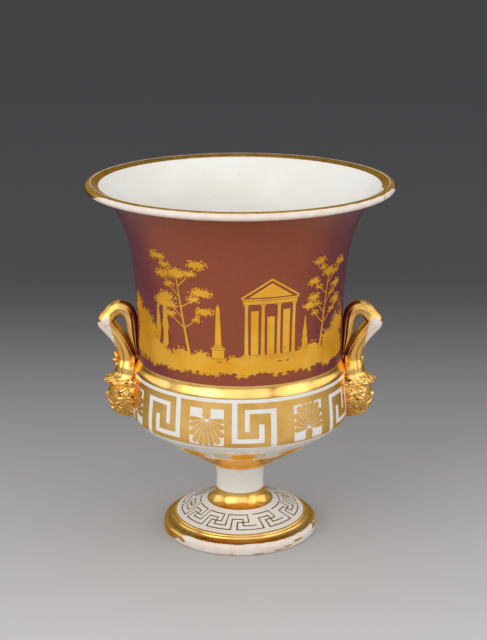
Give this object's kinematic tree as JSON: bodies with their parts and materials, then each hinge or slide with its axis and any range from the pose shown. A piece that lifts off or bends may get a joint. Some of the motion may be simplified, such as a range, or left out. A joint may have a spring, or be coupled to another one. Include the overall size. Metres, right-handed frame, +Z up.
{
  "type": "urn",
  "caption": "Two-handled porcelain urn: flared bell with a moulded lip, round belly, slim stem on a round foot, gilt loop handles on bearded masks.",
  "frame": {"origin": "Middle of the ring that the foot stands on", "axes": "+Z is up along the urn's turning axis, the two handles lie along +X and -X"},
  "size_m": [0.2484, 0.2484, 0.2996],
  "materials": {
    "white_glaze": "clear glazed white porcelain",
    "purple_glaze": "glossy purple brown ground on porcelain",
    "gilding": "burnished gold on porcelain",
    "brass": "dull turned brass",
    "leather": "plain leather washer"
  },
  "bodies": {
    "root": {"bell": "purple_glaze", "belly": "white_glaze", "foot": "white_glaze", "handle_left": "gilding", "handle_right": "gilding", "mask_left": "gilding", "mask_right": "gilding", "leaf_left": "gilding", "leaf_right": "gilding", "packing_washer": "leather", "bolt": "brass", "head_plate": "brass", "head_cushion": "leather", "foot_cushion": "leather", "foot_plate": "brass", "nut": "brass"}
  },
  "joints": []
}
